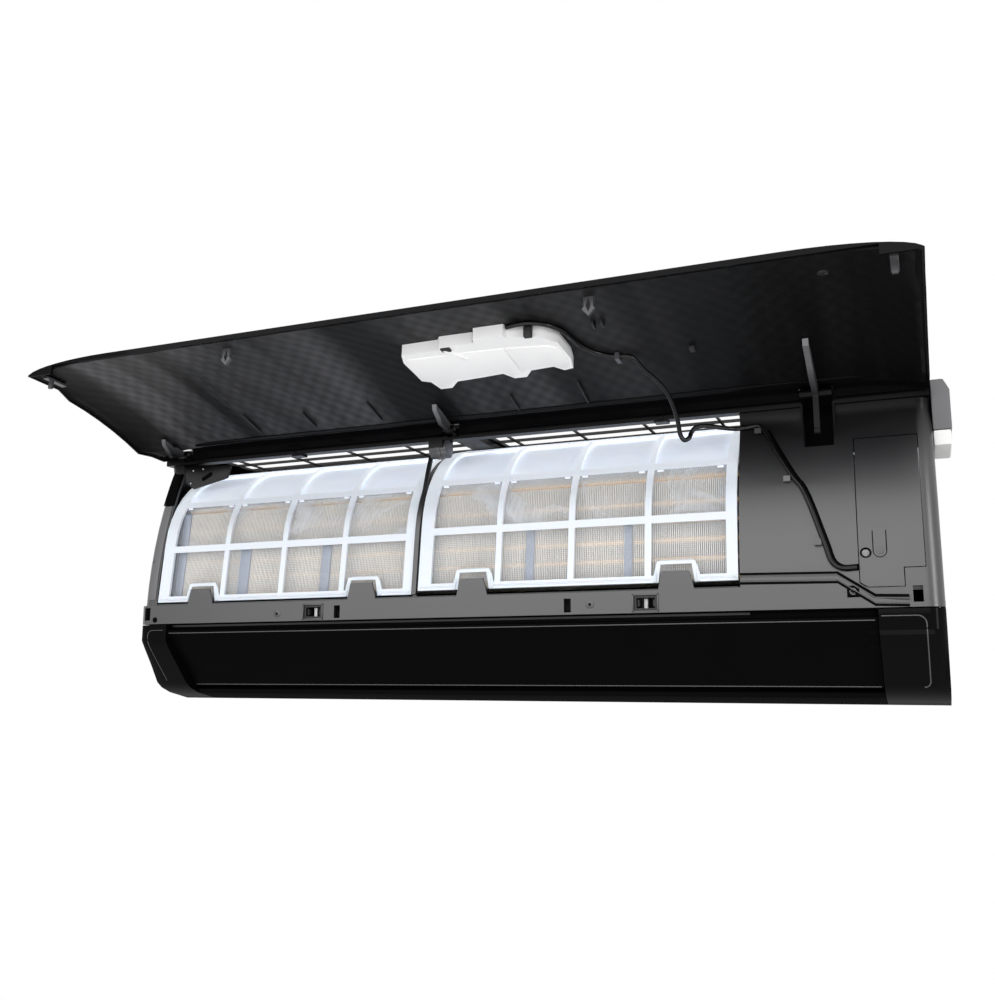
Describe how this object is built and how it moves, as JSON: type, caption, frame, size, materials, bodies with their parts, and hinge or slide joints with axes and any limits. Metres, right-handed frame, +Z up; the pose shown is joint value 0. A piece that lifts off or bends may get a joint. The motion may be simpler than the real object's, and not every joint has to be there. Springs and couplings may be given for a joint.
{
  "type": "mini split indoor unit",
  "caption": "Wide wall-hung air conditioner unit: a crowned front panel swings up on top hinges over lift-out filters, above a flap that covers the air outlet",
  "frame": {"origin": "middle of the mounting plate back face, on the wall plane", "axes": "+X to the right as seen from the front, -Y is the front and +Y points into the wall, +Z up"},
  "size_m": [0.851, 0.373, 0.3356],
  "materials": {
    "frame_satin_black": "satin black moulded plastic with a very fine grain",
    "gloss_black": "polished black plastic",
    "moulding_black": "matt black moulded plastic",
    "hinge_grey": "satin dark grey moulded plastic",
    "filter_white": "cool white moulded plastic",
    "filter_weave": "fine white weave, partly see-through",
    "display_white": "white moulded plastic",
    "lead_black": "soft black sheath",
    "fin_aluminium": "thin coated fins, closely stacked",
    "tube_copper": "bright drawn copper tube",
    "zinc_steel": "zinc-plated steel",
    "motor_shell": "cast shell",
    "rubber_black": "matt black rubber",
    "foam_grey": "pale expanded foam",
    "board_green": "coated circuit board"
  },
  "bodies": {
    "chassis": {"front_frame": "frame_satin_black", "top_grille_left": "frame_satin_black", "top_grille_right": "frame_satin_black", "screw_strip_right": "zinc_steel", "screw_end_strip": "zinc_steel", "screw_wiring_cover": "zinc_steel", "screw_beam_left": "zinc_steel", "screw_beam_right": "zinc_steel", "wiring_cover": "frame_satin_black", "latch_catch_left": "moulding_black", "latch_catch_right": "moulding_black", "display_lead_loop": "lead_black", "display_lead_frame": "lead_black", "evaporator_lower": "fin_aluminium", "evaporator_upper": "fin_aluminium", "evaporator_rear": "fin_aluminium", "evaporator_end_left": "tube_copper", "evaporator_end_right": "tube_copper", "suction_pipe": "tube_copper", "liquid_pipe": "tube_copper", "fan_bearing": "rubber_black", "fan_motor": "motor_shell", "rear_casing": "moulding_black", "drain_pan": "foam_grey", "bottom_cover": "frame_satin_black", "end_cover_left": "gloss_black", "end_cover_right": "gloss_black", "louvre_motor": "zinc_steel", "control_box": "moulding_black", "control_board": "board_green", "side_pipe_cover": "hinge_grey", "side_pipe_seal": "foam_grey", "mounting_plate": "zinc_steel"},
    "panel": {"front_panel_skin": "gloss_black", "front_panel_carrier": "gloss_black", "hinge_arm_left": "hinge_grey", "hinge_arm_centre": "hinge_grey", "hinge_arm_right": "hinge_grey", "latch_hook_left": "hinge_grey", "latch_hook_right": "hinge_grey", "end_hook_left": "hinge_grey", "end_hook_right": "hinge_grey", "display_box": "display_white", "display_lead_panel": "lead_black", "cable_hook": "moulding_black"},
    "filter_left": {"filter_frame_left": "filter_white", "filter_net_left": "filter_weave"},
    "filter_right": {"filter_frame_right": "filter_white", "filter_net_right": "filter_weave"},
    "louvre_flap": {"louvre": "gloss_black"},
    "fan_rotor": {"cross_flow_fan": "moulding_black"},
    "button": {"manual_button": "frame_satin_black"},
    "vane_bar": {"vane_link": "moulding_black"},
    "vane_body_1": {"vane_1": "moulding_black"},
    "vane_body_2": {"vane_2": "moulding_black"},
    "vane_body_3": {"vane_3": "moulding_black"},
    "vane_body_4": {"vane_4": "moulding_black"},
    "vane_body_5": {"vane_5": "moulding_black"},
    "vane_body_6": {"vane_6": "moulding_black"},
    "vane_body_7": {"vane_7": "moulding_black"}
  },
  "joints": [
    {"name": "panel_hinge", "type": "hinge", "parent": "chassis", "child": "panel", "pos_m": [0, -0.172, 0.134], "axis": [-1, 0, 0], "range_deg": [-95, 0], "deforming": ["display_lead_loop"]},
    {"name": "louvre_tilt", "type": "hinge", "parent": "chassis", "child": "louvre_flap", "pos_m": [0, -0.15379, -0.10511], "axis": [1, 0, 0], "range_deg": [0, 70]},
    {"name": "fan_spin", "type": "hinge", "parent": "chassis", "child": "fan_rotor", "pos_m": [0, -0.095, -0.015], "axis": [1, 0, 0], "continuous": true},
    {"name": "filter_left_slide", "type": "slide", "parent": "chassis", "child": "filter_left", "axis": [0, -0.9659, -0.2588], "range_m": [0, 0.14]},
    {"name": "filter_right_slide", "type": "slide", "parent": "chassis", "child": "filter_right", "axis": [0, -0.9659, -0.2588], "range_m": [0, 0.14]},
    {"name": "manual_button_press", "type": "slide", "parent": "chassis", "child": "button", "axis": [0, 1, 0], "range_m": [0, 0.0012], "stiffness_N_per_m": 600},
    {"name": "vane_1_turn", "type": "hinge", "parent": "chassis", "child": "vane_body_1", "pos_m": [-0.33, -0.106, -0.0988], "axis": [0, -0.658, 0.753], "range_deg": [-30, 30]},
    {"name": "vane_2_turn", "type": "hinge", "parent": "chassis", "child": "vane_body_2", "pos_m": [-0.23867, -0.106, -0.0988], "axis": [0, -0.658, 0.753], "range_deg": [-30, 30]},
    {"name": "vane_3_turn", "type": "hinge", "parent": "chassis", "child": "vane_body_3", "pos_m": [-0.14733, -0.106, -0.0988], "axis": [0, -0.658, 0.753], "range_deg": [-30, 30]},
    {"name": "vane_4_turn", "type": "hinge", "parent": "chassis", "child": "vane_body_4", "pos_m": [-0.056, -0.106, -0.0988], "axis": [0, -0.658, 0.753], "range_deg": [-30, 30]},
    {"name": "vane_5_turn", "type": "hinge", "parent": "chassis", "child": "vane_body_5", "pos_m": [0.03533, -0.106, -0.0988], "axis": [0, -0.658, 0.753], "range_deg": [-30, 30]},
    {"name": "vane_6_turn", "type": "hinge", "parent": "chassis", "child": "vane_body_6", "pos_m": [0.12667, -0.106, -0.0988], "axis": [0, -0.658, 0.753], "range_deg": [-30, 30]},
    {"name": "vane_7_turn", "type": "hinge", "parent": "chassis", "child": "vane_body_7", "pos_m": [0.218, -0.106, -0.0988], "axis": [0, -0.658, 0.753], "range_deg": [-30, 30]},
    {"name": "vane_bar_slide", "type": "slide", "parent": "chassis", "child": "vane_bar", "axis": [1, 0, 0], "range_m": [-0.0108, 0.0108]}
  ],
  "couplings": [
    {"joint": "vane_1_turn", "follows": "vane_bar_slide", "rad_per_m": -48.31},
    {"joint": "vane_2_turn", "follows": "vane_bar_slide", "rad_per_m": -48.31},
    {"joint": "vane_3_turn", "follows": "vane_bar_slide", "rad_per_m": -48.31},
    {"joint": "vane_4_turn", "follows": "vane_bar_slide", "rad_per_m": -48.31},
    {"joint": "vane_5_turn", "follows": "vane_bar_slide", "rad_per_m": -48.31},
    {"joint": "vane_6_turn", "follows": "vane_bar_slide", "rad_per_m": -48.31},
    {"joint": "vane_7_turn", "follows": "vane_bar_slide", "rad_per_m": -48.31}
  ]
}
